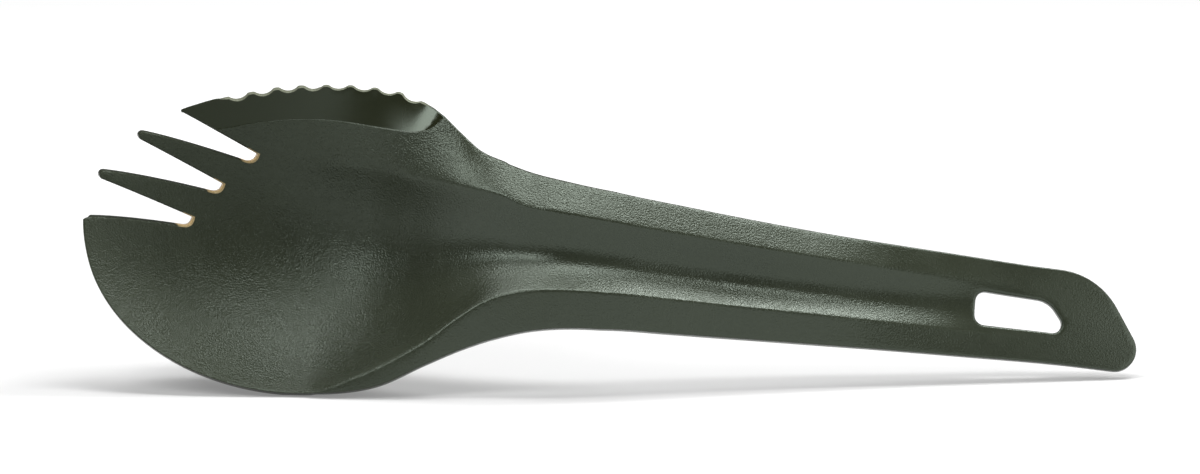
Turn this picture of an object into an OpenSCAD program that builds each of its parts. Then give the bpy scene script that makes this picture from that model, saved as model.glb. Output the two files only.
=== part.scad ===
// Camping spork: spoon bowl with three tine gaps, a serrated cutting edge on one side and a
// ridged handle with a lanyard slot, moulded in one piece. It lies on its back, open side up.
// The tip of the bowl points along -X, the blade side is +Y.

/* [Overall] */
// Length from the round front of the bowl to the end of the handle
overall_len = 178; // [160:1:200]
// Width across the bowl
bowl_w = 52.4; // [48:0.2:56]
// Thickness of the moulded sheet
wall_t = 1.8; // [1.4:0.1:2.4]

/* [Bowl] */
// Length of the rounded front, from the tip to the deepest place
front_len = 35.4; // [32:0.2:40]
// Depth of the bowl below its front rim
bowl_depth = 12.6; // [10:0.2:15]
// How far the blade side of the front is drawn in from the width of the bowl
front_draw_in = 0.4; // [0:0.1:1]

/* [Neck and handle] */
// Height of the two ridges at the neck above the resting surface
neck_h = 22.8; // [20:0.2:26]
// Width across the flanges at the neck
neck_w = 23.4; // [21:0.2:26]
// Width across the flanges at the lanyard slot
end_w = 16.2; // [15:0.2:18]
// Distance between the two ridges at the neck
neck_ridge_gap = 12; // [10:0.2:13]
// Distance between the two ridges at the lanyard slot
end_ridge_gap = 8.2; // [7.4:0.2:9]
// Depth of the channel between the ridges
channel_depth = 3.3; // [2:0.1:4]
// Softness of the channel's floor as a share of its half width
valley_share = 0.38; // [0.2:0.02:0.6]
// Fall of the flanges for each millimetre outwards
flange_fall = 0.42; // [0.3:0.01:0.5]
// Softness of the ridges
ridge_round = 0.2; // [0.1:0.1:0.6]

/* [Handle end] */
// Radius of the end's upper corner
end_corner_r = 12; // [8:0.5:14]
// Radius of the end's lower corner
end_tip_r = 3.8; // [2.6:0.1:4.4]
// How far the end's slanted side leans along the handle
end_lean = 10.6; // [8:0.2:13]

/* [Lanyard slot] */
// Length of the slot along its lower side
slot_len = 16.8; // [12:0.2:18]
// Width of the slot
slot_w = 5.8; // [5:0.1:6.4]
// Distance from the slot's lower corner to the end of the handle
slot_inset = 11.4; // [11:0.2:15]
// How far the slot's slanted end leans along the handle
slot_lean = 4.2; // [3:0.2:5]
// How much narrower the slot is at its slanted end
slot_taper = 0.5; // [0:0.1:1]
// Radius of the slot's corners
slot_r = 1.6; // [1.2:0.1:2]
// Radius of the bend between the slot's upper side and its slanted end
slot_bend_r = 4; // [2:0.5:5]

/* [Tine gaps] */
// Distance from the deepest place of the bowl to the middle of the gaps, along the spork
gap_x = 18.4; // [17:0.2:20]
// Distance from the middle line to the middle of the gaps, across the spork
gap_y = 12; // [11:0.2:13]
// Width of the gaps at their root
gap_root_w = 2.2; // [1.8:0.1:2.8]
// Lean of the gap's root
gap_root_angle = 45; // [30:1:60]
// Radius of the tine tips
tine_tip_r = 0.75; // [0.5:0.05:0.9]
// How far the sides of a tine belly out
tine_belly = 0.35; // [0.2:0.05:0.8]

/* [Serrated edge] */
// Number of scallops
scallop_count = 8; // [6:1:9]
// Distance from one point to the next along the spork
scallop_pitch = 4.2; // [3.6:0.1:4.6]
// Width of a scallop, less than the distance between the points by the land left between two
scallop_w = 3.3; // [2.8:0.1:3.5]
// Depth of a scallop
scallop_depth = 0.6; // [0.3:0.1:0.8]
// Distance from the last point to the deepest place of the bowl, along the spork
scallop_end = 19; // [18:0.2:20]
// Lean of the scallops' ground faces towards the bowl
scallop_lean = 35; // [20:1:45]
// Thickness left at the cutting edge
edge_t = 0.7; // [0.5:0.1:1.2]
// Step between the textured wall and the polished bevel
bevel_step = 0.15; // [0.1:0.05:0.3]
// Loss of thickness of the bevel for each millimetre outwards
bevel_fall = 0.2; // [0.15:0.01:0.3]

/* [Hidden] */

bowl_half = bowl_w / 2;
neck_half = neck_w / 2;
end_half = end_w / 2;
tip_x = -overall_len / 2;
end_x = overall_len / 2;
deep_x = tip_x + front_len;

// How far the sheet runs past the outline before it is trimmed
margin = 1.5;
// How far cutters run past what they cut
overrun = 6;
// Rows along the sheet
rows = 80;
// Cells across the sheet: lip side flange and dish, blade side dish, shelf, step and bevel
lip_cells = [4, 7];
blade_cells = [6, 4, 1, 4];
// Steps of an arc, and of the front, the lip side and the blade side of the outline
arc_steps = 8;
front_steps = 32;
lip_steps = 48;
blade_steps = 64;

// Each table pairs a share of the overall length, from the tip, with the share of a size there.
// Bowl half width added to the neck, taper of the handle from the neck to the slot
flare_shares = [[0.20, 1], [0.25, 0.955], [0.29, 0.835], [0.33, 0.57], [0.36, 0.375],
                [0.39, 0.22], [0.43, 0.085], [0.49, 0], [0.56, 0]];
taper_shares = [[0.49, 1], [0.57, 0.73], [0.70, 0.38], [0.83, 0.14], [0.92, 0], [1, 0]];
// Bowl half width added to the place of the ridges, on the lip side and on the blade side
ridge_flare_shares = [[0.20, 1.01], [0.228, 0.99], [0.264, 0.85], [0.296, 0.70], [0.328, 0.515],
                      [0.354, 0.32], [0.381, 0.15], [0.41, 0.065], [0.44, 0.03], [0.50, 0], [0.56, 0]];
blade_ridge_flare_shares = [[0.20, 0.41], [0.26, 0.39], [0.30, 0.30], [0.344, 0.228],
                            [0.386, 0.15], [0.41, 0.065], [0.44, 0.03], [0.50, 0], [0.56, 0]];
// Height of the ridges, on the lip side and on the blade side, as a share of the neck's
rim_share = bowl_depth / (neck_h - wall_t);
ridge_height_shares = [[0.20, rim_share], [0.22, 0.624], [0.25, 0.685], [0.28, 0.746], [0.31, 0.803],
                       [0.34, 0.857], [0.37, 0.907], [0.40, 0.957], [0.43, 0.993], [0.455, 0.99],
                       [0.50, 0.924],
                       [0.55, 0.81], [0.60, 0.695], [0.65, 0.595], [0.70, 0.50], [0.75, 0.40],
                       [0.81, 0.30], [0.865, 0.212], [0.92, 0.133], [1, 0.0095]];
blade_ridge_height_shares = [[0.20, 0.31], [0.22, 0.34], [0.26, 0.44], [0.30, 0.60], [0.344, 0.79],
                             [0.388, 0.93], [0.43, 0.993]];
// Fall of the wall outside the ridges as a share of the flange's, along the handle and at the blade
fall_shares = [[0.65, 1], [0.70, 0.95], [0.75, 0.6], [0.81, 0.38], [0.90, 0.2], [1, 0.1]];
blade_fall_shares = [[0.20, -1.4], [0.22, -1.32], [0.26, -1], [0.30, -0.4], [0.344, 0.23],
                     [0.365, 0.69], [0.388, 1], [0.43, 1]];
// Part of the way down from the channel's floor to the floor of the bowl, and the channel's depth
dish_shares = [[0.20, 1], [0.23, 0.965], [0.264, 0.84], [0.298, 0.61], [0.33, 0.37], [0.365, 0.185],
               [0.40, 0.084], [0.44, 0.02], [0.49, 0], [0.56, 0]];
channel_shares = [[0.60, 1], [0.70, 0.78], [0.80, 0.45], [0.87, 0.15], [0.91, 0], [1, 0]];
// Place of the cutting edge and of the bevel's inner border, as shares of the bowl's half width
edge_shares = [[0.115, 0.894], [0.16, 0.981], [0.205, 1.0225], [0.235, 1.0335], [0.26, 1.028],
               [0.283, 1.009], [0.305, 0.957], [0.322, 0.88], [0.345, 0.745], [0.365, 0.64],
               [0.39, 0.575]];
border_shares = [[0, 0.65], [0.11, 0.695], [0.14, 0.75], [0.17, 0.789], [0.205, 0.803], [0.24, 0.789],
                 [0.27, 0.763], [0.296, 0.744], [0.307, 0.753], [0.315, 0.775], [0.324, 0.84],
                 [0.33, 0.94]];
// Stretches in which the bowl's round floor turns into the channel, and the blade side's own form
// sets in
vee_shares = [0.26, 0.42];
blade_form_shares = [0.13, 0.25];
// From here on both sides of the handle are alike
alike_share = 0.43;
// Width of the bevel's step as a share of the bevel, and place of the fullest belly along a tine
step_share = 0.04;
belly_share = 0.27;
// Directions from the deepest place to the blade's tip and past the lip's corner. The outline runs
// a little wider between them, so that the cuts alone form the tips of the tines and the lip's
// corner stands out as it does
tine_span = [124, 196];
tine_reach_share = 2.5;

function mix(a, b, t) = a + (b - a) * t;
function way_through(ends, s) = (s - ends[0]) / (ends[1] - ends[0]);
function ease(t) = let (u = min(1, max(0, t))) u * u * (3 - 2 * u);
function soft_min(a, b, r) = (a + b - sqrt((a - b) * (a - b) + r * r)) / 2;
function unit(v) = v / norm(v);

// Smooth curve through the points of a table
function last_before(table, s) = len([for (p = table) if (p[0] <= s) 1]) - 1;
function incline(a, b) = (b[1] - a[1]) / (b[0] - a[0]);
function tangent(table, i) = incline(table[max(0, i - 1)], table[min(len(table) - 1, i + 1)]);
function rail(table, s) =
    let (i = max(0, min(len(table) - 2, last_before(table, s))),
         a = table[i],
         b = table[i + 1],
         h = b[0] - a[0],
         t = min(1, max(0, (s - a[0]) / h)),
         u = 1 - t)
    a[1] * (1 + 2 * t) * u * u + b[1] * t * t * (3 - 2 * t)
    + h * tangent(table, i) * t * u * u - h * tangent(table, i + 1) * t * t * u;

// Plan view: half width, place of the ridges, cutting edge and inner border of its bevel
function share(x) = (x - tip_x) / overall_len;
function half_width(s) = mix(end_half, neck_half, rail(taper_shares, s))
    + (bowl_half - neck_half) * rail(flare_shares, s);
function ridge_y(s, flares) = mix(end_ridge_gap, neck_ridge_gap, rail(taper_shares, s)) / 2
    + (bowl_half - neck_ridge_gap / 2) * rail(flares, s);
function edge_y(s) = s < edge_shares[len(edge_shares) - 1][0]
    ? bowl_half * rail(edge_shares, s)
    : half_width(s);
function border_y(s) = min(bowl_half * rail(border_shares, s), edge_y(s) + margin / 2);

// Side view: front of the bowl as a paraboloid, then ridges and channel floor
function front_rise(x) = bowl_depth * pow(max(0, deep_x - x) / front_len, 2);
function height(part) = mix(wall_t, neck_h, part);
function ridge_z(s, x) = s < ridge_height_shares[0][0]
    ? wall_t + bowl_depth + front_rise(x)
    : height(rail(ridge_height_shares, s));
function blade_ridge_z(s, x) = s > alike_share
    ? ridge_z(s, x)
    : height(rail(blade_ridge_height_shares, s));
function valley_z(s, x) = s < dish_shares[0][0]
    ? wall_t + front_rise(x)
    : mix(ridge_z(s, x) - channel_depth * rail(channel_shares, s), wall_t, rail(dish_shares, s));

// A cross-section holds: height of the middle line, roundness, weight of the blade side's own
// form, then place, height and outward fall of the ridge, on the lip side and on the blade side
function section(x) =
    let (s = share(x), fall = flange_fall * rail(fall_shares, s))
    [valley_z(s, x),
     ease(way_through(vee_shares, s)),
     ease(way_through(blade_form_shares, s)),
     [ridge_y(s, ridge_flare_shares), ridge_z(s, x), fall],
     [ridge_y(s, blade_ridge_flare_shares), blade_ridge_z(s, x),
      s > alike_share ? fall : flange_fall * rail(blade_fall_shares, s)]];
function vee(t) = (norm([t, valley_share]) - valley_share) / (norm([1, valley_share]) - valley_share);
function side_z(c, ridge, y) =
    let (t = y / ridge[0],
         beyond = y - ridge[0],
         wall = mix(t * t, vee(t), c[1]),
         shelf = ridge[1] - (beyond < 0 ? max(0, ridge[2]) : ridge[2]) * beyond)
    soft_min(mix(c[0], ridge[1], wall), shelf, ridge_round);
function form_z(c, y) =
    let (plain = side_z(c, c[3], abs(y)))
    y <= 0 ? plain : mix(plain, side_z(c, c[4], y), c[2]);

// Slopes of the form, and how much taller than its thickness the sheet is where it slopes
probe = margin / 10;
hair = margin / 100;
function slope_x(x, y) = (form_z(section(x + probe), y) - form_z(section(x - probe), y)) / probe / 2;
function slope_y(c, y) = (form_z(c, y + probe) - form_z(c, y - probe)) / probe / 2;

// One row of the sheet: places across it, lined up with the ridges and the bevel's border
function steps(a, b, n) = [for (i = [0:n - 1]) mix(a, b, i / n)];
function row_y(s) =
    let (outer = (s < flare_shares[0][0] ? bowl_half : half_width(s)) + margin,
         inner = min(ridge_y(s, ridge_flare_shares), outer - 2 * margin),
         blade = ridge_y(s, blade_ridge_flare_shares),
         border = border_y(s),
         edge = (s < edge_shares[0][0] ? bowl_half : edge_y(s)) + margin,
         foot = mix(border, edge, step_share))
    concat(steps(-outer, -inner, lip_cells[0]), steps(-inner, 0, lip_cells[1]),
           steps(0, blade, blade_cells[0]), steps(blade, border, blade_cells[1]),
           steps(border, foot, blade_cells[2]), steps(foot, edge, blade_cells[3]), [edge]);
function bevel(s, y) = y > border_y(s) + hair ? bevel_step + bevel_fall * (y - border_y(s)) : 0;
function row_points(x) =
    let (s = share(x), c = section(x))
    [for (y = row_y(s))
        let (z = form_z(c, y), tall = wall_t * norm([1, slope_x(x, y), slope_y(c, y)]))
        [[x, y, max(z - bevel(s, y), z - tall + edge_t)], [x, y, z - tall]]];

// The formed sheet as one closed surface: upper and lower grid and a skirt round them
module sheet() {
    first = tip_x - margin;
    last = end_x + margin;
    grid = [for (i = [0:rows]) row_points(mix(first, last, i / rows))];
    n = len(grid[0]);
    points = [for (side = [0, 1], line = grid, p = line) p[side]];
    lower = (rows + 1) * n;
    cells = [for (i = [0:rows - 1], j = [0:n - 2]) i * n + j];
    ends = [for (j = [0:n - 2]) j];
    far = rows * n;
    polyhedron(points, concat(
        [for (k = cells) each [[k, k + 1, k + n + 1], [k, k + n + 1, k + n]]],
        [for (k = cells) each [[lower + k, lower + k + n + 1, lower + k + 1],
                               [lower + k, lower + k + n, lower + k + n + 1]]],
        [for (k = ends) each [[k, lower + k, lower + k + 1], [k, lower + k + 1, k + 1]]],
        [for (k = ends) each [[far + k, far + k + 1, lower + far + k + 1],
                              [far + k, lower + far + k + 1, lower + far + k]]],
        [for (i = [0:rows - 1]) let (k = i * n)
            each [[k, k + n, lower + k + n], [k, lower + k + n, lower + k]]],
        [for (i = [0:rows - 1]) let (k = i * n + n - 1)
            each [[k, lower + k, lower + k + n], [k, lower + k + n, k + n]]]));
}

// Arc that rounds the corner p between the points a and b
function fillet(a, p, b, r) =
    let (u = unit(a - p),
         v = unit(b - p),
         half = acos(u * v) / 2,
         c = p + unit(u + v) * r / sin(half),
         from = p + u * r / tan(half) - c,
         start = atan2(from[1], from[0]),
         turn = (180 - 2 * half) * (u[0] * v[1] > u[1] * v[0] ? -1 : 1))
    [for (i = [0:arc_steps]) let (w = start + turn * i / arc_steps) c + r * [cos(w), sin(w)]];
function bow(a, b, c) = [for (i = [0:arc_steps]) let (t = i / arc_steps)
    a * (1 - t) * (1 - t) + b * 2 * t * (1 - t) + c * t * t];

// Outline of the spork seen from above
function side_point(x, side) = [x, side * half_width(share(x))];
function tine_reach(w) =
    let (t = way_through(tine_span, w)) tine_reach_share * margin * ease(t) * ease(1 - t);
module outline() {
    corner = [end_x - end_tip_r + end_tip_r / tan(atan2(end_w, end_lean) / 2), -end_half];
    shoulder = [corner[0] - end_lean, end_half];
    edge_start = tip_x + overall_len * edge_shares[0][0];
    front_top = bowl_half - front_draw_in;
    front_end = acos((edge_start - deep_x) / front_len);
    lip_side = [for (i = [0:lip_steps])
        side_point(mix(deep_x, corner[0] - end_lean, i / lip_steps), -1)];
    blade_side = [for (i = [0:blade_steps])
        let (x = mix(shoulder[0] - end_corner_r, edge_start, i / blade_steps)) [x, edge_y(share(x))]];
    polygon(concat(
        [for (i = [0:front_steps]) let (w = mix(front_end, 270, i / front_steps))
            [deep_x + (front_len + tine_reach(w)) * cos(w),
             ((w < 180 ? front_top : bowl_half) + tine_reach(w)) * sin(w)]],
        lip_side,
        fillet(side_point(corner[0] - end_lean, -1), corner, shoulder, end_tip_r),
        fillet(corner, shoulder, side_point(shoulder[0] - end_corner_r, 1), end_corner_r),
        blade_side));
}

// The tine gaps are cut square to the sheet. Places in their sketch are shares of the bowl's
// front length along it and of the bowl's half width across it: the middle of each gap's root,
// and the tips of the blade, the two tines and the lip.
root_shares = [[0.25, 0.121], [0.12, -0.1137], [0.0011, -0.3546]];
tip_shares = [[-0.156, 0.352], [-0.2966, 0.147], [-0.4537, -0.1355], [-0.5051, -0.4313]];
// Directions in which the round of a tine's tip ends, on its upper and on its under side
tip_upper_angle = 87;
tip_under_angle = 243;
function in_sketch(p) = [p[0] * front_len, p[1] * bowl_half];
function on_tip(tip, r, angle) = tip + r * [cos(angle), sin(angle)];
function tip_arc(tip, r, from, to) =
    [for (i = [0:arc_steps]) on_tip(tip, r, mix(from, to, i / arc_steps))];
function gap_side(from, to, belly) = bow(from, mix(from, to, belly_share) + [0, belly], to);
module gap(i) {
    root = in_sketch(root_shares[i]);
    half = gap_root_w / 2 * [cos(gap_root_angle), sin(gap_root_angle)];
    upper_tip = in_sketch(tip_shares[i]);
    under_tip = in_sketch(tip_shares[i + 1]);
    sharp = i == 0;
    upper_r = sharp ? 0 : tine_tip_r;
    upper_start = on_tip(upper_tip, upper_r, tip_under_angle);
    under_start = on_tip(under_tip, tine_tip_r, tip_upper_angle);
    polygon(concat(
        [under_tip - [overrun, 0]],
        tip_arc(under_tip, tine_tip_r, 180, tip_upper_angle),
        gap_side(under_start, root - half, tine_belly),
        bow(root - half, root + [half[1], -half[0]], root + half),
        gap_side(root + half, upper_start, 0),
        sharp ? [] : tip_arc(upper_tip, upper_r, tip_under_angle, 180),
        [upper_tip - [overrun, 0]]));
}
module tine_gaps() {
    x = deep_x - gap_x;
    lean_x = slope_x(x, gap_y);
    lean_y = slope_y(section(x), gap_y);
    translate([x, gap_y, form_z(section(x), gap_y)])
        rotate([asin(lean_y / norm([1, lean_x, lean_y])), -atan(lean_x), 0])
            for (i = [0:len(root_shares) - 1])
                linear_extrude(4 * overrun, center = true)
                    gap(i);
}

// Lanyard slot, cut square to the end of the handle, with one slanted end
module lanyard_slot() {
    x = end_x - slot_inset - slot_len / 2;
    low = [slot_len / 2, -slot_w / 2];
    high = [slot_len / 2 - slot_lean, slot_w / 2 - slot_taper];
    back_high = [-slot_len / 2, slot_w / 2];
    back_low = [-slot_len / 2, -slot_w / 2];
    translate([x, 0, form_z(section(x), 0)])
        rotate([0, -atan(slope_x(x, 0)), 0])
            linear_extrude(2 * overrun, center = true)
                polygon(concat(fillet(back_low, low, high, slot_r),
                               fillet(low, high, back_high, slot_bend_r),
                               fillet(high, back_high, back_low, slot_r),
                               fillet(back_high, back_low, low, slot_r)));
}

// Lays a cutter on the cutting edge, leaning inwards from the lower face up
module on_blade(x) {
    a = [x - scallop_pitch / 2, edge_y(share(x - scallop_pitch / 2))];
    b = [x + scallop_pitch / 2, edge_y(share(x + scallop_pitch / 2))];
    middle = (a + b) / 2;
    low = form_z(section(middle[0]), middle[1]) - wall_t;
    translate([middle[0], middle[1], low])
        rotate([0, 0, atan2(b[1] - a[1], b[0] - a[0])])
            rotate([scallop_lean, 0, 0])
                children();
}

// Scallops of the cutting edge, and the lands between them, which are ground at the same lean
module scallops() {
    depth = scallop_depth * cos(scallop_lean);
    radius = (pow(scallop_w / 2, 2) + pow(depth, 2)) / 2 / depth;
    last = deep_x + scallop_end;
    for (i = [1:scallop_count])
        on_blade(last - (i - 1 / 2) * scallop_pitch)
            translate([0, radius - depth, 0])
                cylinder(h = 2 * overrun, r = radius, center = true, $fn = 48);
    for (i = [1:scallop_count - 1])
        on_blade(last - i * scallop_pitch)
            translate([0, overrun / 2, 0])
                cube([scallop_pitch, overrun, 2 * overrun], center = true);
}

module spork() {
    color("darkolivegreen")
        difference() {
            intersection() {
                sheet();
                translate([0, 0, -overrun])
                    linear_extrude(neck_h + 2 * overrun)
                        outline();
            }
            tine_gaps();
            lanyard_slot();
            scallops();
        }
}

spork();
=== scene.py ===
import math

import bpy
import numpy as np
from mathutils import Matrix, Vector
from mathutils.geometry import delaunay_2d_cdt


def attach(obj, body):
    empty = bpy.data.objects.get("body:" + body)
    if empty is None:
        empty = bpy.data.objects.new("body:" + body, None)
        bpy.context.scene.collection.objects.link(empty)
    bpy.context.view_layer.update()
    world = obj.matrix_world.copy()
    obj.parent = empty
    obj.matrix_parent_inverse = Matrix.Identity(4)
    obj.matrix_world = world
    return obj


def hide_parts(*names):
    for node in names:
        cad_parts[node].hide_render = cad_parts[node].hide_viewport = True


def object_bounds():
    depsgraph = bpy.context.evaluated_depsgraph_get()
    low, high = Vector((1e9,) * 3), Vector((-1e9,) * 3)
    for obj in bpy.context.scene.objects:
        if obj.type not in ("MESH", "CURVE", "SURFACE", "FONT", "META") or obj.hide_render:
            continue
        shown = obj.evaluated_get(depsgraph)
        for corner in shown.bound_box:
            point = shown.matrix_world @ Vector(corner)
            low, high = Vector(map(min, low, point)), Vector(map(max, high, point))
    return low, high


# A camping spork moulded in one dark olive plastic. It lies on its back along X, with the tines towards -X
# and the blade towards +Y. One fine mesh of the same form replaces the frame's solid, with rounded edges, a
# stepped and polished bevel and ground scallops.

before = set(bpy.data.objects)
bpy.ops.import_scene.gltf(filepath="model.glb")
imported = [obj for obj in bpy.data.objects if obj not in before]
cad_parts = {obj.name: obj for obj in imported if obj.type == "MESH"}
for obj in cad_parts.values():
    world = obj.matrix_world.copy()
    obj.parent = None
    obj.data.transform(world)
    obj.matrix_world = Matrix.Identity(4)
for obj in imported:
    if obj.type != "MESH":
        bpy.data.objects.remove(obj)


def corners():
    """Lowest and highest corner of everything that isn't stage, as plain lists."""
    low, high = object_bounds()
    return [list(low), list(high)]


CAD_BOX = corners()

# Lengths are in millimetres up to the making of the mesh
MM = 0.001

# Driving sizes
OVERALL_LEN = 178.0
BOWL_W = 52.4
WALL_T = 1.8
FRONT_LEN = 35.4
BOWL_DEPTH = 12.6
FRONT_DRAW_IN = 0.4
NECK_H = 22.8
NECK_W = 23.4
END_W = 16.2
NECK_RIDGE_GAP = 12.0
END_RIDGE_GAP = 8.2
CHANNEL_DEPTH = 3.3
VALLEY_SHARE = 0.38
FLANGE_FALL = 0.42
RIDGE_ROUND = 0.2
BOWL_RIDGE_ROUND = 0.5
END_CORNER_R = 12.0
END_TIP_R = 3.8
END_LEAN = 10.6

# Lanyard slot
SLOT_LEN = 16.8
SLOT_W = 5.8
SLOT_INSET = 11.4
SLOT_LEAN = 4.2
SLOT_TAPER = 0.5
SLOT_R = 1.6
SLOT_BEND_R = 4.0

# Tine gaps
GAP_X = 18.4
GAP_Y = 12.0
GAP_ROOT_W = 2.2
GAP_ROOT_ANGLE = 45.0
TINE_TIP_R = 0.75
TINE_BELLY = 0.35
BELLY_SHARE = 0.27
TIP_UPPER_ANGLE = 87.0
TIP_UNDER_ANGLE = 243.0
TINE_SPAN = (124.0, 196.0)
LIP_SPAN = (150.0, 270.0)
TINE_REACH = 3.75
BLADE_TIP_REACH = 0.8
LIP_REACH = 0.5
ROOT_REACH = 2.6
MOUTH_TURN = 1.5
ROOT_TOP = 0.25

# Serrated edge
SCALLOP_COUNT = 8
SCALLOP_PITCH = 4.2
SCALLOP_W = 3.3
SCALLOP_DEPTH = 0.6
SCALLOP_END = 19.0
SCALLOP_LEAN = 35.0
EDGE_T = 0.7
BEVEL_STEP = 0.15
BEVEL_FALL = 0.2
BORDER_RUN_OUT = 2.0
STEP_W = 0.1
CREST_W = 0.2

# Rounding of the edges: its radius, plain, in the slot and on the blade, the share of a fade that stays
# sharp round the blade's tip, and the most that a rounding takes of the wall
EDGE_R = 0.32
SLOT_EDGE_R = 0.5
BLADE_EDGE_R = 0.1
SHARP_SHARE = 0.5
TURN_SHARE = 0.45

# Spacing of the mesh along the edges and inside, and rows of it across the bevel's border and the crests
EDGE_SPACING = 0.4
GRID_SPACING = 0.8
ROUND_STEPS = 4
BORDER_ROWS = (-1, 0, 0.5, 1, 2)
CREST_ROWS = (-2, -1, 0, 1, 2)

# Steps of each curve before its points are spread evenly
LINE_STEPS = 199
FRONT_STEPS = 240
SIDE_STEPS = 48
CORNER_STEPS = 24
TIP_STEPS = 16
ARC_STEPS = 12
JOIN_STEPS = 5
SCALLOP_STEPS = 14

# Lines of one tine gap in the sketch, and the point of the last side from which the lip's corner is joined
GAP_LINES = 4
SIDE_KEPT = 8

# Reach of a measured slope, rounds of the two searches, points taken at a time, and the square of the
# distance within which the edge's points count about alike
PROBE = 0.1
CAST_ROUNDS = 12
LOWER_ROUNDS = 6
CHUNK = 200
NEAR_SQUARE = 0.01

# Least cosine of a mitre, least area of a triangle, and distances under which two points are one
LEAST_MITRE = 0.5
SLIVER = 1e-5
MERGE = 1e-6
SAME_PLACE = 1e-9

BOWL_HALF = BOWL_W / 2
NECK_HALF = NECK_W / 2
END_HALF = END_W / 2
TIP_X = -OVERALL_LEN / 2
END_X = OVERALL_LEN / 2
DEEP_X = TIP_X + FRONT_LEN

# Each table pairs a share of the overall length, from the tip, with the share of a size there
FLARE_SHARES = [(0.20, 1), (0.25, 0.955), (0.29, 0.835), (0.33, 0.57), (0.36, 0.375), (0.39, 0.22),
                (0.43, 0.085), (0.49, 0), (0.56, 0)]
TAPER_SHARES = [(0.49, 1), (0.57, 0.73), (0.70, 0.38), (0.83, 0.14), (0.92, 0), (1, 0)]
RIDGE_FLARE_SHARES = [(0.20, 1.01), (0.228, 0.99), (0.264, 0.85), (0.296, 0.70), (0.328, 0.515),
                      (0.354, 0.32), (0.381, 0.15), (0.41, 0.065), (0.44, 0.03), (0.50, 0), (0.56, 0)]
BLADE_RIDGE_FLARE_SHARES = [(0.20, 0.41), (0.26, 0.39), (0.30, 0.30), (0.344, 0.228), (0.386, 0.15),
                            (0.41, 0.065), (0.44, 0.03), (0.50, 0), (0.56, 0)]
RIDGE_HEIGHT_SHARES = [(0.20, BOWL_DEPTH / (NECK_H - WALL_T)), (0.22, 0.624), (0.25, 0.685),
                       (0.28, 0.746), (0.31, 0.803), (0.34, 0.857), (0.37, 0.907), (0.40, 0.957),
                       (0.43, 0.993), (0.455, 0.99), (0.50, 0.924), (0.55, 0.81), (0.60, 0.695),
                       (0.65, 0.595), (0.70, 0.50), (0.75, 0.40), (0.81, 0.30), (0.865, 0.212),
                       (0.92, 0.133), (1, 0.0095)]
BLADE_RIDGE_HEIGHT_SHARES = [(0.20, 0.31), (0.22, 0.34), (0.26, 0.44), (0.30, 0.60), (0.344, 0.79),
                             (0.388, 0.93), (0.43, 0.993)]
FALL_SHARES = [(0.65, 1), (0.70, 0.95), (0.75, 0.6), (0.81, 0.38), (0.90, 0.2), (1, 0.1)]
BLADE_FALL_SHARES = [(0.20, -1.4), (0.22, -1.32), (0.26, -1), (0.30, -0.4), (0.344, 0.23),
                     (0.365, 0.69), (0.388, 1), (0.43, 1)]
DISH_SHARES = [(0.20, 1), (0.23, 0.965), (0.264, 0.84), (0.298, 0.61), (0.33, 0.37), (0.365, 0.185),
               (0.40, 0.084), (0.44, 0.02), (0.49, 0), (0.56, 0)]
CHANNEL_SHARES = [(0.60, 1), (0.70, 0.78), (0.80, 0.45), (0.87, 0.15), (0.91, 0), (1, 0)]
EDGE_SHARES = [(0.115, 0.894), (0.16, 0.981), (0.205, 1.0225), (0.235, 1.0335), (0.26, 1.028),
               (0.283, 1.009), (0.305, 0.957), (0.322, 0.88), (0.345, 0.745), (0.365, 0.64),
               (0.39, 0.575)]
BORDER_SHARES = [(0, 0.65), (0.11, 0.695), (0.14, 0.75), (0.17, 0.789), (0.205, 0.803), (0.24, 0.789),
                 (0.27, 0.763), (0.296, 0.744), (0.307, 0.753), (0.315, 0.775), (0.324, 0.84),
                 (0.33, 0.94)]

# Spans, in shares of the overall length, where one form passes into another
VEE_SHARES = (0.26, 0.42)
BLADE_FORM_SHARES = (0.13, 0.25)
SOFT_START_SHARES = (0.22, 0.28)
SOFT_END_SHARES = (0.44, 0.32)
ALIKE_SHARE = 0.43

# Places in the sketch of the tine gaps, as shares of the front's length and the bowl's half width
ROOT_SHARES = [(0.25, 0.121), (0.12, -0.1137), (0.0011, -0.3546)]
TIP_PLACE_SHARES = [(-0.156, 0.352), (-0.2966, 0.147), (-0.4537, -0.1355), (-0.5051, -0.4313)]


# The form of the sheet

def mix(a, b, t):
    return a + (b - a) * t


def ease(t):
    u = np.clip(t, 0, 1)
    return u * u * (3 - 2 * u)


def passed(s, span):
    """0 before the span, 1 past it and smooth between. A span may run backwards."""
    return ease((s - span[0]) / (span[1] - span[0]))


def soft_min(a, b, r):
    """The lower of two values, rounded over about r where they cross."""
    return (a + b - np.sqrt((a - b) ** 2 + r * r)) / 2


def unit(v):
    v = np.asarray(v, float)
    return v / np.linalg.norm(v, axis=-1, keepdims=True)


def rail(table, s):
    """Smooth curve through the points of a table."""
    xs, ys = np.array(table, float).T
    order = np.arange(len(xs))
    before = np.maximum(order - 1, 0)
    after = np.minimum(order + 1, len(xs) - 1)
    tangent = (ys[after] - ys[before]) / (xs[after] - xs[before])
    i = np.clip(np.searchsorted(xs, s, side="right") - 1, 0, len(xs) - 2)
    h = xs[i + 1] - xs[i]
    t = np.clip((s - xs[i]) / h, 0, 1)
    u = 1 - t
    return (ys[i] * (1 + 2 * t) * u * u + ys[i + 1] * t * t * (3 - 2 * t)
            + h * tangent[i] * t * u * u - h * tangent[i + 1] * t * t * u)


def share(x):
    return (np.asarray(x, float) - TIP_X) / OVERALL_LEN


def half_width(s):
    return (mix(END_HALF, NECK_HALF, rail(TAPER_SHARES, s))
            + (BOWL_HALF - NECK_HALF) * rail(FLARE_SHARES, s))


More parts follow.
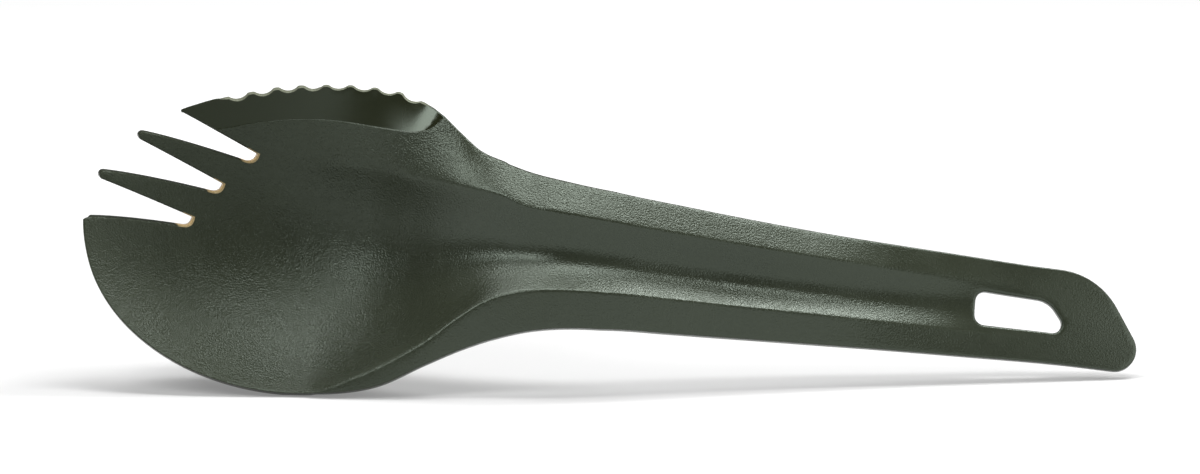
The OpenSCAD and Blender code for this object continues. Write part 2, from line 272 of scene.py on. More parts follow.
def ridge_y(s, flares):
    """Distance of a ridge's crest from the middle line."""
    return (mix(END_RIDGE_GAP, NECK_RIDGE_GAP, rail(TAPER_SHARES, s)) / 2
            + (BOWL_HALF - NECK_RIDGE_GAP / 2) * rail(flares, s))


def edge_y(s):
    """Outline of the blade side."""
    return np.where(s < EDGE_SHARES[-1][0], BOWL_HALF * rail(EDGE_SHARES, s), half_width(s))


def border_y(s):
    """Inner border of the bevel. Past its end it lies outside the spork."""
    past_end = np.maximum(0, s - BORDER_SHARES[-1][0]) * OVERALL_LEN
    return BOWL_HALF * rail(BORDER_SHARES, s) + BORDER_RUN_OUT * past_end


def front_rise(x):
    """How far the bowl's floor and rim rise towards its front."""
    return BOWL_DEPTH * (np.maximum(0, DEEP_X - x) / FRONT_LEN) ** 2


def height(part):
    return mix(WALL_T, NECK_H, part)


def side_z(valley, roundness, ridge, y):
    """Height across one side. ridge is its place, its height, the fall beyond it and its rounding."""
    place, top, fall, soft = ridge
    t = y / place
    beyond = y - place
    vee = (np.hypot(t, VALLEY_SHARE) - VALLEY_SHARE) / (math.hypot(1, VALLEY_SHARE) - VALLEY_SHARE)
    wall = mix(t * t, vee, roundness)
    shelf = top - np.where(beyond < 0, np.maximum(0, fall), fall) * beyond
    return soft_min(mix(valley, top, wall), shelf, soft)


def form_z(x, y):
    """Height of the upper face of the sheet."""
    s = share(x)
    fall = FLANGE_FALL * rail(FALL_SHARES, s)
    front = s < RIDGE_HEIGHT_SHARES[0][0]
    ridge = np.where(front, WALL_T + BOWL_DEPTH + front_rise(x), height(rail(RIDGE_HEIGHT_SHARES, s)))
    channel = ridge - CHANNEL_DEPTH * rail(CHANNEL_SHARES, s)
    valley = np.where(front, WALL_T + front_rise(x), mix(channel, WALL_T, rail(DISH_SHARES, s)))
    roundness = passed(s, VEE_SHARES)
    blade = passed(s, BLADE_FORM_SHARES)
    alike = s > ALIKE_SHARE
    soft = RIDGE_ROUND + BOWL_RIDGE_ROUND * passed(s, SOFT_START_SHARES) * passed(s, SOFT_END_SHARES)
    blade_ridge = (ridge_y(s, BLADE_RIDGE_FLARE_SHARES),
                   np.where(alike, ridge, height(rail(BLADE_RIDGE_HEIGHT_SHARES, s))),
                   np.where(alike, fall, FLANGE_FALL * rail(BLADE_FALL_SHARES, s)), soft)
    plain = side_z(valley, roundness, (ridge_y(s, RIDGE_FLARE_SHARES), ridge, fall, soft), np.abs(y))
    own = side_z(valley, roundness, blade_ridge, np.maximum(y, 0))
    return np.where(y <= 0, plain, mix(plain, own, blade))


def slopes(x, y):
    """Slope of the sheet along the spork and across it."""
    return ((form_z(x + PROBE, y) - form_z(x - PROBE, y)) / (2 * PROBE),
            (form_z(x, y + PROBE) - form_z(x, y - PROBE)) / (2 * PROBE))


def tall(x, y):
    """Thickness of the sheet along the vertical."""
    along, across = slopes(x, y)
    return WALL_T * np.sqrt(1 + along ** 2 + across ** 2)


def bevel(x, y):
    """How far the upper face is cut down at the blade, leaving at least the edge's thickness."""
    out = y - border_y(share(x))
    cut = BEVEL_STEP * ease(out / STEP_W) + BEVEL_FALL * np.maximum(0, out)
    most = tall(x, y) - EDGE_T
    return np.where(out > 0, soft_min(cut, most, BEVEL_STEP), 0)


def upper(q):
    """Points of the upper face above the plan points q."""
    x, y = q[:, 0], q[:, 1]
    return np.stack([x, y, form_z(x, y) - bevel(x, y)], 1)


def lower(points, lean):
    """Points of the lower face under points of the upper face, met along the directions lean."""
    run = tall(points[:, 0], points[:, 1])
    for _ in range(LOWER_ROUNDS):
        low = points - lean * run[:, None]
        over = low[:, 2] - (form_z(low[:, 0], low[:, 1]) - tall(low[:, 0], low[:, 1]))
        run = run + over / lean[:, 2]
    return points - lean * run[:, None]


# The edge all round: plan points of the upper face's border, with the direction in which it is cut

def fillet(a, p, b, r, steps):
    """Arc that rounds the corner p between a and b."""
    a, p, b = (np.asarray(v, float) for v in (a, p, b))
    u, v = unit(a - p), unit(b - p)
    half = math.acos(u @ v) / 2
    centre = p + unit(u + v) * r / math.sin(half)
    start = p + u * r / math.tan(half) - centre
    turn = (math.pi - 2 * half) * (-1 if u[0] * v[1] > u[1] * v[0] else 1)
    w = math.atan2(start[1], start[0]) + turn * np.linspace(0, 1, steps + 1)
    return centre + r * np.stack([np.cos(w), np.sin(w)], 1)


def bow(a, b, c, steps):
    """Curve from a to c that b pulls towards itself."""
    t = np.linspace(0, 1, steps + 1)[:, None]
    return np.asarray(a) * (1 - t) ** 2 + np.asarray(b) * 2 * t * (1 - t) + np.asarray(c) * t * t


def spread(points, spacing, closed=False):
    """The same line with even steps of about the given spacing."""
    points = np.asarray(points, float)
    if closed:
        points = np.vstack([points, points[:1]])
    run = np.concatenate([[0], np.cumsum(np.linalg.norm(np.diff(points, axis=0), axis=1))])
    keep = np.concatenate([[True], np.diff(run) > SAME_PLACE])
    count = max(2, round(run[-1] / spacing))
    at = np.linspace(0, run[-1], count + 1)
    line = np.stack([np.interp(at, run[keep], points[keep, k]) for k in range(points.shape[1])], 1)
    return line[:-1] if closed else line


def joined(first, second, reach):
    """Two lines that cross, cut off where they come nearest and joined by a bow round that corner."""
    gap = np.linalg.norm(first[:, None] - second[None], axis=2)
    i, j = np.unravel_index(np.argmin(gap), gap.shape)
    corner = (first[i] + second[j]) / 2
    first = first[:i][np.linalg.norm(first[:i] - corner, axis=1) > reach]
    second = second[j:][np.linalg.norm(second[j:] - corner, axis=1) > reach]
    return first, bow(first[-1], corner, second[0], JOIN_STEPS)[1:-1], second


def tilt(along, across):
    """Rotation of a sketch that is laid on the sheet where it has these slopes."""
    around_x = math.asin(across / math.sqrt(1 + along ** 2 + across ** 2))
    around_y = -math.atan(along)
    return np.array(Matrix.Rotation(around_y, 3, "Y") @ Matrix.Rotation(around_x, 3, "X"))


def cast(sketch, origin, turned):
    """Plan points where sketch points meet the upper face, square to the sketch."""
    start = origin + sketch @ turned[:, :2].T
    square = turned[:, 2]
    run = np.zeros(len(start))
    for _ in range(CAST_ROUNDS):
        p = start + run[:, None] * square
        run = run + (upper(p)[:, 2] - p[:, 2]) / square[2]
    return (start + run[:, None] * square)[:, :2]


def gap_sketch():
    """Sides and roots of the tine gaps and the tips between them, from the blade's tip to the lip."""
    def place(shares):
        return np.array([shares[0] * FRONT_LEN, shares[1] * BOWL_HALF])

    def arc(tip, start, end):
        w = np.radians(np.linspace(start, end, ARC_STEPS + 1))
        return tip + TINE_TIP_R * np.stack([np.cos(w), np.sin(w)], 1)

    turn = math.radians(GAP_ROOT_ANGLE)
    half = GAP_ROOT_W / 2 * np.array([math.cos(turn), math.sin(turn)])
    deep = np.array([half[1], -half[0]])
    line = []
    for i, root in enumerate(map(place, ROOT_SHARES)):
        upper_tip, under_tip = place(TIP_PLACE_SHARES[i]), place(TIP_PLACE_SHARES[i + 1])
        start = upper_tip if i == 0 else arc(upper_tip, TIP_UNDER_ANGLE, TIP_UNDER_ANGLE)[0]
        end = arc(under_tip, TIP_UPPER_ANGLE, TIP_UPPER_ANGLE)[0]
        down = mix(end, root - half, BELLY_SHARE) + [0, TINE_BELLY]
        line += [bow(start, mix(start, root + half, 0.5), root + half, SIDE_STEPS)]
        line += [bow(root + half, root + deep, root - half, ARC_STEPS)]
        line += [bow(root - half, down, end, SIDE_STEPS)]
        if i + 1 < len(ROOT_SHARES):
            line += [arc(under_tip, TIP_UPPER_ANGLE, TIP_UNDER_ANGLE)]
    return line


def scallop_line():
    """Silhouette of the serrated edge from its last point to its first."""
    last = DEEP_X + SCALLOP_END
    radius = ((SCALLOP_W / 2) ** 2 + SCALLOP_DEPTH ** 2) / 2 / SCALLOP_DEPTH
    half = math.asin(SCALLOP_W / 2 / radius)
    line = []
    for i in range(SCALLOP_COUNT):
        x = np.array([last - i * SCALLOP_PITCH, last - (i + 1) * SCALLOP_PITCH])
        b, a = np.stack([x, edge_y(share(x))], 1)
        out = unit([a[1] - b[1], b[0] - a[0]])
        centre = (a + b) / 2 + out * (radius - SCALLOP_DEPTH)
        w = math.atan2(-out[1], -out[0]) + np.linspace(half, -half, ARC_STEPS + 1)
        arc = centre + radius * np.stack([np.cos(w), np.sin(w)], 1)
        line.append(np.vstack([b, arc, a]))
    return np.vstack(line)


def front_line(start, end):
    """Outline of the bowl between two angles in degrees, drawn out where the tines end."""
    w = np.linspace(start, end, FRONT_STEPS + 1)
    t = (w - TINE_SPAN[0]) / (TINE_SPAN[1] - TINE_SPAN[0])
    reach = TINE_REACH * ease(t) * ease(1 - t)
    half = np.where(w < 180, BOWL_HALF - FRONT_DRAW_IN, BOWL_HALF) + reach
    w = np.radians(w)
    return np.stack([DEEP_X + (FRONT_LEN + reach) * np.cos(w), half * np.sin(w)], 1)


def handle_line():
    """Outline from the bowl's lip side round the slanted end of the handle to the last scallop."""
    corner = np.array([END_X - END_TIP_R + END_TIP_R / math.tan(math.atan2(END_W, END_LEAN) / 2),
                       -END_HALF])
    shoulder = np.array([corner[0] - END_LEAN, END_HALF])
    lip_x = np.linspace(DEEP_X, corner[0] - END_LEAN, LINE_STEPS + 1)
    lip_side = np.stack([lip_x, -half_width(share(lip_x))], 1)
    back_x = np.linspace(shoulder[0] - END_CORNER_R, DEEP_X + SCALLOP_END, LINE_STEPS + 1)
    back = np.stack([back_x, edge_y(share(back_x))], 1)
    return np.vstack([lip_side[1:],
                      fillet(lip_side[-1], corner, shoulder, END_TIP_R, TIP_STEPS),
                      fillet(corner, shoulder, back[0], END_CORNER_R, CORNER_STEPS),
                      back])


def edge_rows():
    """The spork's edge, all round: plan points, directions of the cut, radius of the rounding, and how far
    the edge is ground there or belongs to the root of a gap."""
    origin = np.array([DEEP_X - GAP_X, GAP_Y, float(form_z(DEEP_X - GAP_X, GAP_Y))])
    turned = tilt(*(float(v) for v in slopes(DEEP_X - GAP_X, GAP_Y)))
    gap_lines = [cast(spread(line, EDGE_SPACING), origin, turned) for line in gap_sketch()]
    tines = np.vstack([line[1:] for line in gap_lines[1:-1]] + [gap_lines[-1][1:SIDE_KEPT]])
    blade_start = DEEP_X + SCALLOP_END - SCALLOP_COUNT * SCALLOP_PITCH
    blade_front = front_line(math.degrees(math.acos((blade_start - DEEP_X) / FRONT_LEN)), 180)

    tip, tip_round, first_side = joined(blade_front, gap_lines[0], BLADE_TIP_REACH)
    last_side, lip_round, lip_front = joined(gap_lines[-1][SIDE_KEPT:], front_line(*LIP_SPAN), LIP_REACH)
    outline = spread(np.vstack([lip_front, handle_line()]), EDGE_SPACING)
    blade = np.vstack([spread(row, SCALLOP_PITCH / SCALLOP_STEPS)[:-1]
                       for row in np.split(scallop_line(), SCALLOP_COUNT)])
    tip = spread(tip, EDGE_SPACING)[1:]
    gaps = np.vstack([tip_round, first_side, tines, last_side, lip_round])
    plan = np.vstack([outline[:-1], blade, tip, gaps])

    # The scallops are ground at a lean, so the upper face ends further in than the silhouette
    run = np.concatenate([[0], np.cumsum(np.linalg.norm(np.diff(plan, axis=0), axis=1))])
    first, last = run[len(outline) - 1], run[len(outline) + len(blade) - 2]
    fade = SCALLOP_PITCH / 2
    ground = ease(np.minimum(run - first + fade, last + fade - run) / fade)
    s = share(plan[:, 0])
    step = PROBE / OVERALL_LEN
    out = unit(np.stack([-(edge_y(s + step) - edge_y(s - step)) / (2 * PROBE), np.ones(len(s))], 1))
    lean = np.radians(SCALLOP_LEAN) * ground
    square = np.column_stack([-out * np.sin(lean)[:, None], np.cos(lean)])
    plan = plan - out * (EDGE_T * np.tan(lean))[:, None]

    # The gaps are cut square to the sheet, and near their mouths the cut turns to the vertical
    start = len(plan) - len(gaps)
    into = np.minimum(run - run[start], run[-1] - run) / MOUTH_TURN
    square[start:] = unit(mix(square[start:], turned[:, 2], ease(into[start:])[:, None]))
    from_tip = np.linalg.norm(plan - tip_round.mean(0), axis=1)
    sharp = np.maximum(ground, 1 - ease(from_tip / fade - SHARP_SHARE))
    middles = np.array([line.mean(0) for line in gap_lines[1::GAP_LINES]])
    from_root = np.linalg.norm(plan[:, None] - middles[None], axis=2).min(1)
    return plan, square, mix(EDGE_R, BLADE_EDGE_R, sharp), ground, ease(ROOT_REACH - from_root)


def slot_rows():
    """The lanyard slot's edge, clockwise, so that the sheet is on its left."""
    x = END_X - SLOT_INSET - SLOT_LEN / 2
    turned = tilt(float(slopes(x, 0.0)[0]), 0)
    low = (SLOT_LEN / 2, -SLOT_W / 2)
    high = (SLOT_LEN / 2 - SLOT_LEAN, SLOT_W / 2 - SLOT_TAPER)
    back_high, back_low = (-SLOT_LEN / 2, SLOT_W / 2), (-SLOT_LEN / 2, -SLOT_W / 2)
    ring = np.vstack([fillet(back_low, low, high, SLOT_R, ARC_STEPS),
                      fillet(low, high, back_high, SLOT_BEND_R, ARC_STEPS),
                      fillet(high, back_high, back_low, SLOT_R, ARC_STEPS),
                      fillet(back_high, back_low, low, SLOT_R, ARC_STEPS)])[::-1]
    plan = cast(spread(ring, EDGE_SPACING, closed=True), np.array([x, 0, float(form_z(x, 0))]), turned)
    none = np.zeros(len(plan))
    return plan, np.tile(turned[:, 2], (len(plan), 1)), none + SLOT_EDGE_R, none, none


def inward(plan):
    """Unit normals of a closed line, towards its left, lengthened at corners."""
    before, after = plan - np.roll(plan, 1, 0), np.roll(plan, -1, 0) - plan
    a, b = unit(before), unit(after)
    na, nb = np.stack([-a[:, 1], a[:, 0]], 1), np.stack([-b[:, 1], b[:, 0]], 1)
    mean = unit(na + nb)
    return mean / np.maximum(LEAST_MITRE, np.sum(mean * na, 1))[:, None]


def inside(points, ring):
    """Which plan points lie inside a closed line."""
    x, y = points[:, 0, None], points[:, 1, None]
    x0, y0 = ring.T
    x1, y1 = np.roll(ring, -1, 0).T
    straddles = (y0 > y) != (y1 > y)
    with np.errstate(divide="ignore", invalid="ignore"):
        hit = straddles & (x < x0 + (y - y0) * (x1 - x0) / (y1 - y0))
    return hit.sum(1) % 2 == 1


def clear_of(points, others, least):
    """Which points keep at least a distance from all the others."""
    kept = np.ones(len(points), bool)
    for k in range(0, len(others), CHUNK):
        gap = np.linalg.norm(points[:, None] - others[None, k:k + CHUNK], axis=2)
        kept &= gap.min(1) > least
    return kept


def inner_points(inner):
    """Plan points inside the edges: rows along the bevel's border and the crests, then an even grid."""
    x = np.arange(TIP_X, END_X, EDGE_SPACING)
    s = share(x)
    lines = [(border_y(s), STEP_W, BORDER_ROWS),
             (-ridge_y(s, RIDGE_FLARE_SHARES), CREST_W, CREST_ROWS),
             (ridge_y(s, BLADE_RIDGE_FLARE_SHARES), CREST_W, CREST_ROWS)]
    border = np.zeros((0, 2))
    for y, width, offsets in lines:
        row = np.vstack([np.stack([x, y + width * offset], 1) for offset in offsets])
        border = np.vstack([border, row[clear_of(row, border, CREST_W)]])
    gx, gy = np.meshgrid(np.arange(TIP_X, END_X, GRID_SPACING),
                         np.arange(-BOWL_HALF, BOWL_HALF + GRID_SPACING, GRID_SPACING))
    gx[1::2] += GRID_SPACING / 2
    grid = np.stack([gx.ravel(), gy.ravel()], 1)
    edge = np.vstack(inner)
    border = border[inside(border, inner[0])]
    border = border[clear_of(border, edge, EDGE_SPACING / 2)]
    grid = grid[inside(grid, inner[0]) & ~inside(grid, inner[1])]
    grid = grid[clear_of(grid, edge, GRID_SPACING / 2) & clear_of(grid, border, GRID_SPACING / 3)]
    return np.vstack([border, grid])


def triangles(plan, inner, loops):
    """Triangles on the plan between the outer edge and the slot, all wound alike."""
    edges = [(ring[k - 1], ring[k]) for ring in loops for k in range(len(ring))]
    flat, _, faces, origins, _, _ = delaunay_2d_cdt([Vector(p) for p in plan], edges, [], 0, MERGE)
    flat = np.array([v[:] for v in flat])
    ids = np.array([o[0] for o in origins])
    tris = np.array([f for f in faces if len(f) == 3])
    middle = flat[tris].mean(1)
    tris = ids[tris[inside(middle, inner[0]) & ~inside(middle, inner[1])]]
    area = np.cross(plan[tris[:, 1]] - plan[tris[:, 0]], plan[tris[:, 2]] - plan[tris[:, 0]])
    tris[area < 0] = tris[area < 0][:, ::-1]
    return tris[np.abs(area) > SLIVER]


def cut_directions(plan, rings):
    """Direction of the cut at each plan point: a mean of the edges' directions, ruled by the nearest."""
    at = np.vstack([ring[0] for ring in rings])
    towards = np.vstack([ring[1] for ring in rings])
    square = np.empty((len(plan), 3))
    for k in range(0, len(plan), CHUNK):
        near = 1 / (NEAR_SQUARE + np.sum((plan[k:k + CHUNK, None] - at[None]) ** 2, 2)) ** 2
        square[k:k + CHUNK] = unit(near @ towards)
    return square


def edge_band(ring, lean, radius):
    """Rows of points round an edge, from the upper face to the lower, each with its depth as a share."""
    normal = inward(ring)
    rise = np.sum(np.stack(slopes(ring[:, 0], ring[:, 1]), 1) * unit(normal), 1)
    reach = normal / np.sqrt(1 + rise ** 2)[:, None]
    whole = upper(ring)
    span = np.linalg.norm(whole - lower(whole, lean), axis=1)
    turn = np.minimum(radius, TURN_SHARE * span)
    angles = np.linspace(math.pi / 2, 0, ROUND_STEPS + 1)[1:]
    rows = []
    for w in angles:
        p = upper(ring + reach * (turn * (1 - math.cos(w)))[:, None])
        rows.append(p - lean * (turn * (1 - math.sin(w)))[:, None])
    for w in angles[::-1]:
        p = upper(ring + reach * (turn * (1 - math.cos(w)))[:, None])
        rows.append(lower(p, lean) + lean * (turn * (1 - math.sin(w)))[:, None])
    return [(row, np.linalg.norm(row - whole, axis=1) / span) for row in rows]


def spork_mesh():
    """The whole spork: upper and lower face on one triangulated plan, joined round every edge. Each point
    also has masks for its finish and for painted light: polished bevel, which also carries painted shade,
    ground edge, which carries a painted highlight, root of a gap, which carries a painted glow, and rounded
    edge."""
    rings = [edge_rows(), slot_rows()]
    inner = [ring[0] + inward(ring[0]) * ring[2][:, None] for ring in rings]
    loops, start = [], 0
    for ring in inner:
        loops.append(list(range(start, start + len(ring))))
        start += len(ring)
    plan = np.vstack(inner + [inner_points(inner)])
    tris = triangles(plan, inner, loops)
    top = upper(plan)
    bottom = lower(top, cut_directions(plan, rings))
    polish = ease((plan[:, 1] - border_y(share(plan[:, 0]))) / STEP_W)
    none = np.zeros(len(plan))
    finish_and_painted_light = [np.stack([polish, none, none, none], 1), np.zeros((len(plan), 4))]
    points = [top, bottom]
    count = 2 * len(plan)
    quads = []
    for (ring, lean, radius, ground, root), loop in zip(rings, loops):
        rows = [np.array(loop)]
        for row, deep in edge_band(ring, lean, radius):
            points.append(row)
            finish_and_painted_light.append(np.stack([0 * ground, ground, root * mix(ROOT_TOP, 1, deep), 0 * ground + 1], 1))
            rows.append(np.arange(count, count + len(row)))
            count += len(row)
        rows.append(np.array(loop) + len(plan))
        for a, b in zip(rows, rows[1:]):
            quads.append(np.stack([a, b, np.roll(b, -1), np.roll(a, -1)], 1))
    points = np.clip(np.vstack(points) * MM, *CAD_BOX)
    tris = np.vstack([tris, tris[:, ::-1] + len(plan)])
    return points, tris, np.vstack(quads), np.vstack(finish_and_painted_light)


points, tris, quads, finish_and_painted_light = spork_mesh()
mesh = bpy.data.meshes.new("spork_moulding")
mesh.from_pydata(points.tolist(), [], tris.tolist() + quads.tolist())
mesh.validate()
mesh.update()
mesh.shade_smooth()
for name, values in zip(("polish", "ground", "root", "edge"), finish_and_painted_light.T):
    mesh.attributes.new(name, "FLOAT", "POINT").data.foreach_set("value", values.astype(np.float32))
spork = bpy.data.objects.new("spork_moulding", mesh)
bpy.context.scene.collection.objects.link(spork)
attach(spork, "root")
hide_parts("spork")


# Materials, in metres from here on

OLIVE = (0.027, 0.032, 0.019, 1)
OLIVE_DEEP = (0.024, 0.0285, 0.017, 1)
OLIVE_PALE = (0.033, 0.039, 0.025, 1)
# Painted shade on the bevel: darker and browner, standing in for the dark surroundings that its polish
# mirrors and the light through its thin edge
BEVEL_PAINTED_SHADE = (0.012, 0.014, 0.004, 1)
# Painted highlight: pale on the ground scallop walls, which face the light
GROUND_PAINTED_HIGHLIGHT = (0.17, 0.18, 0.13, 1)
# Painted glow at the roots of the tine gaps: tan at the top of each wall, cream deeper down
ROOT_PAINTED_GLOW_TAN = (0.80, 0.58, 0.28, 1)
ROOT_PAINTED_GLOW_CREAM = (1.0, 0.93, 0.8, 1)
SHEEN_TINT = (0.85, 1.0, 0.86, 1)
WHITE = (1, 1, 1, 1)

# Scale and detail of each noise, and the span of its values over which it takes effect
CLOUD_NOISE = (60.0, 3.0)
SPECK_NOISE = (1500.0, 2.0)
MATT_NOISE = (120.0, 2.0)
WRINKLE_NOISE = (3400.0, 1.5)
FINE_NOISE = (9000.0, 1.0)
CLOUD_SPAN = (0.35, 0.65)
NOISE_SPAN = (0.3, 0.7)

# Amount of pale specks, and where the painted tan and cream glow at the gap roots starts and is whole
SPECKS = (0.0, 0.35)
ROOT_GLOW_TAN_SPAN = (0.15, 0.5)
ROOT_GLOW_CREAM_SPAN = (0.5, 0.9)

# Roughness of the grained faces, of the rounded edges, and of the bevel over a span along the spork
MATT = (0.24, 0.3)
EDGE_MATT = 0.27
BEVEL_MATT = (0.3, 0.1)
BEVEL_SPAN = (-0.040, -0.031)

# Sheen, and the span along the spork over which it grows
SHEEN = (0.27, 0.55)
SHEEN_SPAN = (-0.078, -0.022)

# Depth of the grain, share of its fine wrinkles, and how it weakens over spans along the spork at the neck
# and at the handle's end, and on the bevel
GRAIN_DEPTH = 0.00014
FINE_SHARE = 0.1
NECK_GRAIN = (1.0, 0.5)
NECK_SPAN = (-0.05, -0.02)
END_GRAIN = (1.0, 0.4)
END_SPAN = (0.045, 0.065)
BEVEL_GRAIN = 0.03


def node(tree, kind, **values):
    """New node, with values for its sockets or its settings."""
    made = tree.nodes.new(kind)
    for name, value in values.items():
        if name in made.inputs:
            made.inputs[name].default_value = value
        else:
            setattr(made, name, value)
    return made


def attribute(tree, name):
    return node(tree, "ShaderNodeAttribute", attribute_name=name).outputs["Fac"]


def blend(tree, amount, a, b):
    """Mix of two colours or numbers by an amount, all of them sockets or values."""
    colour = isinstance(b, tuple)
    made = node(tree, "ShaderNodeMix", data_type="RGBA" if colour else "FLOAT")
    ends = [s for s in made.inputs if s.enabled and s.name in ("A", "B")]
    for socket, value in [(made.inputs["Factor"], amount), (ends[0], a), (ends[1], b)]:
        if hasattr(value, "is_output"):
            tree.links.new(value, socket)
        else:
            socket.default_value = value
    return next(s for s in made.outputs if s.enabled)


def noise(tree, place, scale, detail):
    made = node(tree, "ShaderNodeTexNoise", Scale=scale, Detail=detail)
    tree.links.new(place, made.inputs["Vector"])
    return made.outputs["Fac"]


def ramp(tree, value, low, high, start=0.0, end=1.0):
    """Value taken smoothly from start to end while it goes from low to high."""
    made = node(tree, "ShaderNodeMapRange", interpolation_type="SMOOTHSTEP")
    tree.links.new(value, made.inputs["Value"])
    for name, number in zip(("From Min", "From Max", "To Min", "To Max"), (low, high, start, end)):
        made.inputs[name].default_value = number
    return made.outputs["Result"]


def plastic():
    """Dark olive plastic with a fine leathery grain, and a smooth bevel that is polished at its end."""
    material = bpy.data.materials.new("moulded_plastic")
    material.use_nodes = True
    tree = material.node_tree
    shader = tree.nodes["Principled BSDF"]
    place = node(tree, "ShaderNodeTexCoord").outputs["Object"]
    axes = node(tree, "ShaderNodeSeparateXYZ")
    tree.links.new(place, axes.inputs[0])
    along = axes.outputs["X"]
    polish, ground, root, edge = (attribute(tree, name) for name in ("polish", "ground", "root", "edge"))

    # Colour: slow clouds of two olives and pale specks, then painted light: painted shade that makes the
    # bevel darker and browner, a painted highlight on the ground edges and a painted tan to cream glow at
    # the gap roots
    clouds = ramp(tree, noise(tree, place, *CLOUD_NOISE), *CLOUD_SPAN)
    specks = ramp(tree, noise(tree, place, *SPECK_NOISE), *NOISE_SPAN, *SPECKS)
    colour = blend(tree, clouds, OLIVE_DEEP, OLIVE)
    colour = blend(tree, specks, colour, OLIVE_PALE)
    colour = blend(tree, polish, colour, BEVEL_PAINTED_SHADE)
    colour = blend(tree, ground, colour, GROUND_PAINTED_HIGHLIGHT)
    colour = blend(tree, ramp(tree, root, *ROOT_GLOW_TAN_SPAN), colour, ROOT_PAINTED_GLOW_TAN)
    colour = blend(tree, ramp(tree, root, *ROOT_GLOW_CREAM_SPAN), colour, ROOT_PAINTED_GLOW_CREAM)
    tree.links.new(colour, shader.inputs["Base Color"])

    # Roughness and sheen: matt grain, even on the rounded edges, and a bevel that is polished at its end
    matt = ramp(tree, noise(tree, place, *MATT_NOISE), *NOISE_SPAN, *MATT)
    rough = blend(tree, edge, matt, EDGE_MATT)
    rough = blend(tree, polish, rough, ramp(tree, along, *BEVEL_SPAN, *BEVEL_MATT))
    tree.links.new(rough, shader.inputs["Roughness"])
    tree.links.new(ramp(tree, along, *SHEEN_SPAN, *SHEEN), shader.inputs["Specular IOR Level"])
    shader.inputs["Specular Tint"].default_value = SHEEN_TINT

    # Grain: short wrinkles of two sizes
    height = node(tree, "ShaderNodeMath", operation="MULTIPLY_ADD")
    tree.links.new(noise(tree, place, *FINE_NOISE), height.inputs[0])
    height.inputs[1].default_value = FINE_SHARE
    tree.links.new(noise(tree, place, *WRINKLE_NOISE), height.inputs[2])
    strength = node(tree, "ShaderNodeMath", operation="MULTIPLY")
    tree.links.new(ramp(tree, along, *END_SPAN, *END_GRAIN), strength.inputs[0])
    tree.links.new(ramp(tree, along, *NECK_SPAN, *NECK_GRAIN), strength.inputs[1])
    bump = node(tree, "ShaderNodeBump", Distance=GRAIN_DEPTH)
    tree.links.new(blend(tree, polish, strength.outputs[0], BEVEL_GRAIN), bump.inputs["Strength"])
    tree.links.new(height.outputs[0], bump.inputs["Height"])
    tree.links.new(bump.outputs["Normal"], shader.inputs["Normal"])
    return material


mesh.materials.append(plastic())


# Stage: floor, light and camera. The photograph shows the spork leaning on its lip side, so the floor is
# the plane that touches the rim of the bowl and the corner of the handle's end. It is clear from behind,
# and its glow grows over a span of distances from its own middle, which is near the spork's.

FLOOR_NORMAL = (-0.085, 0.93, 0.357)
FLOOR_HALF = 3.0
FLOOR_COLOUR = (0.62, 0.62, 0.62, 1)
FLOOR_GLOW = (0.22, 0.8)
GLOW_SPAN = (0.08, 0.35)
WORLD_LEVEL = 0.12
LIGHT_TARGET = Vector((0, 0, 0.012))
LIGHT_RANGE = 0.45

# Name, azimuth from +Y towards +X and elevation in degrees, width, height, and power in watts
LIGHTS = [("softbox", 4, 26, 0.30, 0.09, 1.0), ("low_softbox", -24, 14, 0.17, 0.09, 0.50),
          ("left_strip", -24, 3, 0.17, 0.09, 0.12), ("right_strip", 24, 4, 0.17, 0.09, 0.82),
          ("left_panel", -55, 46, 0.26, 0.14, 0.8), ("right_panel", 72, 12, 0.40, 0.25, 0.8),
          ("fill", 84, 41, 0.25, 0.12, 0.24)]


def seen_by(tree, *kinds):
    """1 for rays of these kinds, else 0."""
    path = node(tree, "ShaderNodeLightPath")
    total = path.outputs[kinds[0]]
    for kind in kinds[1:]:
        both = node(tree, "ShaderNodeMath", operation="MAXIMUM")
        tree.links.new(total, both.inputs[0])
        tree.links.new(path.outputs[kind], both.inputs[1])
        total = both.outputs[0]
    return total


def floor_material():
    """Pale matt floor, clear from behind, with a white glow that gives no diffuse light."""
    material = bpy.data.materials.new("floor")
    material.use_nodes = True
    tree = material.node_tree
    tree.nodes.remove(tree.nodes["Principled BSDF"])
    matt = node(tree, "ShaderNodeBsdfDiffuse", Color=FLOOR_COLOUR)
    glow = node(tree, "ShaderNodeEmission", Color=WHITE)
    clear = node(tree, "ShaderNodeBsdfTransparent")
    add = node(tree, "ShaderNodeAddShader")
    pick = node(tree, "ShaderNodeMixShader")
    seen = node(tree, "ShaderNodeMath", operation="MULTIPLY")
    away = node(tree, "ShaderNodeVectorMath", operation="LENGTH")
    tree.links.new(node(tree, "ShaderNodeTexCoord").outputs["Object"], away.inputs[0])
    tree.links.new(seen_by(tree, "Is Camera Ray", "Is Glossy Ray", "Is Transmission Ray"), seen.inputs[0])
    tree.links.new(ramp(tree, away.outputs["Value"], *GLOW_SPAN, *FLOOR_GLOW), seen.inputs[1])
    tree.links.new(seen.outputs[0], glow.inputs["Strength"])
    tree.links.new(matt.outputs[0], add.inputs[0])
    tree.links.new(glow.outputs[0], add.inputs[1])
    tree.links.new(node(tree, "ShaderNodeNewGeometry").outputs["Backfacing"], pick.inputs[0])
    tree.links.new(add.outputs[0], pick.inputs[1])
    tree.links.new(clear.outputs[0], pick.inputs[2])
    tree.links.new(pick.outputs[0], tree.nodes["Material Output"].inputs["Surface"])
    return material


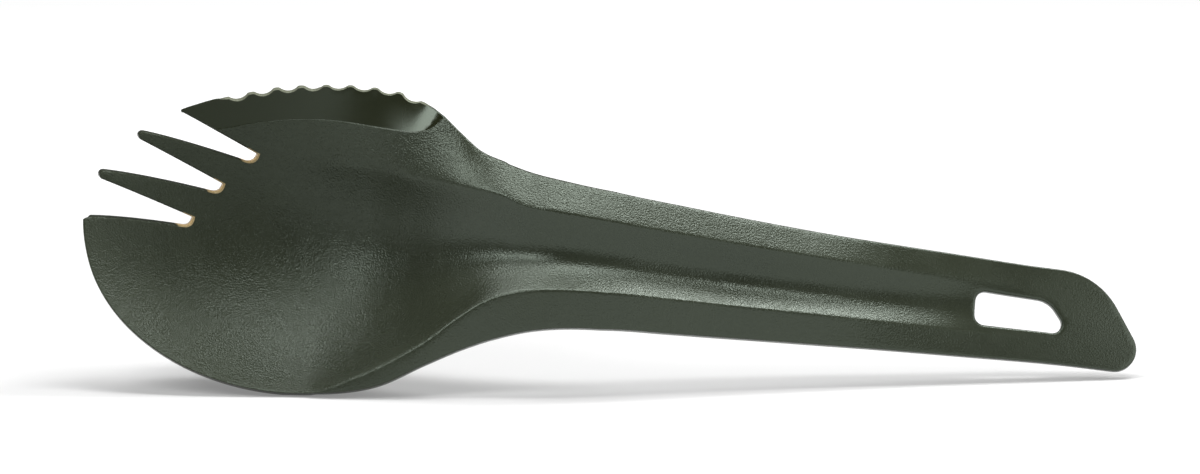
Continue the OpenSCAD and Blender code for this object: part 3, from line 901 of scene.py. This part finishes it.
def add_floor(points):
    """Floor square to FLOOR_NORMAL that touches the lowest of the points along it."""
    data = bpy.data.meshes.new("floor")
    data.from_pydata([(-FLOOR_HALF, -FLOOR_HALF, 0), (FLOOR_HALF, -FLOOR_HALF, 0),
                      (FLOOR_HALF, FLOOR_HALF, 0), (-FLOOR_HALF, FLOOR_HALF, 0)], [], [(0, 1, 2, 3)])
    data.materials.append(floor_material())
    made = bpy.data.objects.new("floor", data)
    square = Vector(FLOOR_NORMAL).normalized()
    made.location = square * float((points @ np.array(square)).min())
    made.rotation_euler = square.to_track_quat("Z", "Y").to_euler()
    bpy.context.scene.collection.objects.link(made)
    return made


def add_light(name, azimuth, elevation, width, height, power):
    """Area light that faces LIGHT_TARGET from LIGHT_RANGE away."""
    data = bpy.data.lights.new(name, "AREA")
    data.shape = "RECTANGLE"
    data.size, data.size_y, data.energy = width, height, power
    lamp = bpy.data.objects.new(name, data)
    a, e = math.radians(azimuth), math.radians(elevation)
    towards = Vector((math.sin(a) * math.cos(e), math.cos(a) * math.cos(e), math.sin(e)))
    lamp.location = LIGHT_TARGET + towards * LIGHT_RANGE
    lamp.rotation_euler = towards.to_track_quat("Z", "Y").to_euler()
    bpy.context.scene.collection.objects.link(lamp)


def add_world():
    """Weak even light that is white where it is seen straight."""
    world = bpy.data.worlds.new("world")
    world.use_nodes = True
    tree = world.node_tree
    backdrop = tree.nodes["Background"]
    backdrop.inputs["Color"].default_value = WHITE
    straight = seen_by(tree, "Is Camera Ray", "Is Transmission Ray")
    tree.links.new(blend(tree, straight, WORLD_LEVEL, 1.0), backdrop.inputs["Strength"])
    bpy.context.scene.world = world


# The camera stands over the open side, a little towards the lip side, and is rolled so that the handle
# drops to the right
CAMERA_PLACE = Vector((-3.28, -134.36, 697.92)) * MM
LOOK_TILT = math.radians(-11.5)
ROLL = math.radians(5.02)
LENS = 125.34
SENSOR = 36.0


def add_camera():
    forward = Vector((0, -math.sin(LOOK_TILT), -math.cos(LOOK_TILT)))
    level_right = Vector((1, 0, 0))
    level_up = level_right.cross(forward)
    right = level_right * math.cos(ROLL) + level_up * math.sin(ROLL)
    up = level_up * math.cos(ROLL) - level_right * math.sin(ROLL)
    data = bpy.data.cameras.new("camera")
    data.lens = LENS
    data.sensor_fit = "HORIZONTAL"
    data.sensor_width = SENSOR
    camera = bpy.data.objects.new("camera", data)
    turned = Matrix((right, up, -forward)).transposed().to_4x4()
    camera.matrix_world = Matrix.Translation(CAMERA_PLACE) @ turned
    bpy.context.scene.collection.objects.link(camera)
    bpy.context.scene.camera = camera


floor = add_floor(points)
for light in LIGHTS:
    add_light(*light)
add_world()
add_camera()
bpy.context.scene.view_settings.view_transform = "Standard"
